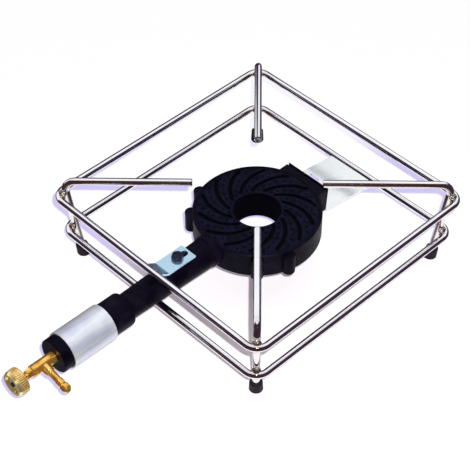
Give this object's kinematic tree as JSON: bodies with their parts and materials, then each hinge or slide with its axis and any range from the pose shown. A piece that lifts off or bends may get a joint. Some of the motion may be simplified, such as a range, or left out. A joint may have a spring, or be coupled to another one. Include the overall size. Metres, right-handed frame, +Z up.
{
  "type": "outdoor gas burner",
  "caption": "Low chromed rod stand with pot support arms, carrying a cast-iron ring burner with spiral grooves, venturi tube, sliding air sleeve and brass valve with knob and hose nozzle.",
  "frame": {"origin": "on the ground, under the middle of the whole object's box", "axes": "+Z up, -Y along the venturi tube from the burner to the valve's knob, +X the way the hose nozzle points"},
  "size_m": [0.3614, 0.5642, 0.1258],
  "materials": {
    "chromed_rod": "bright",
    "weld_metal": "bright, heat tinted",
    "foot_rubber": "matte",
    "zinc_sheet": "bright zinc",
    "black_steel": "black oxide",
    "cast_iron": "black, satin",
    "aluminium": "brushed",
    "brass": "bright",
    "seal_rubber": "matte"
  },
  "bodies": {
    "stand": {"upper_ring": "chromed_rod", "lower_ring": "chromed_rod", "leg_front_right": "chromed_rod", "leg_rear_right": "chromed_rod", "leg_rear_left": "chromed_rod", "leg_front_left": "chromed_rod", "foot_front_right": "foot_rubber", "foot_rear_right": "foot_rubber", "foot_rear_left": "foot_rubber", "foot_front_left": "foot_rubber", "ring_welds": "weld_metal", "front_strap": "zinc_sheet", "strap_bolt": "black_steel", "rear_plate": "zinc_sheet", "rear_bolts": "black_steel", "rear_washers": "zinc_sheet", "burner_bowl": "cast_iron", "burner_cap": "cast_iron", "venturi_tube": "cast_iron", "gas_valve_body": "brass", "gas_jet": "brass", "hose_nozzle": "brass", "spindle_seal": "seal_rubber", "gland_nut": "brass"},
    "sleeve": {"air_sleeve": "aluminium"},
    "spindle": {"valve_spindle": "brass"},
    "knob": {"valve_knob": "brass", "knob_screw": "black_steel"}
  },
  "joints": [
    {"name": "air_sleeve_slide", "type": "slide", "parent": "stand", "child": "sleeve", "axis": [0, 1, 0], "range_m": [-0.0135, 0.026]},
    {"name": "spindle_lift", "type": "slide", "parent": "stand", "child": "spindle", "axis": [0, -1, 0], "range_m": [0, 0.0015]},
    {"name": "knob_turn", "type": "hinge", "parent": "spindle", "child": "knob", "pos_m": [0, -0.275, 0.06377], "axis": [0, -1, 0], "range_deg": [0, 540]}
  ],
  "couplings": [
    {"joint": "spindle_lift", "follows": "knob_turn", "m_per_rad": 0.000159}
  ]
}
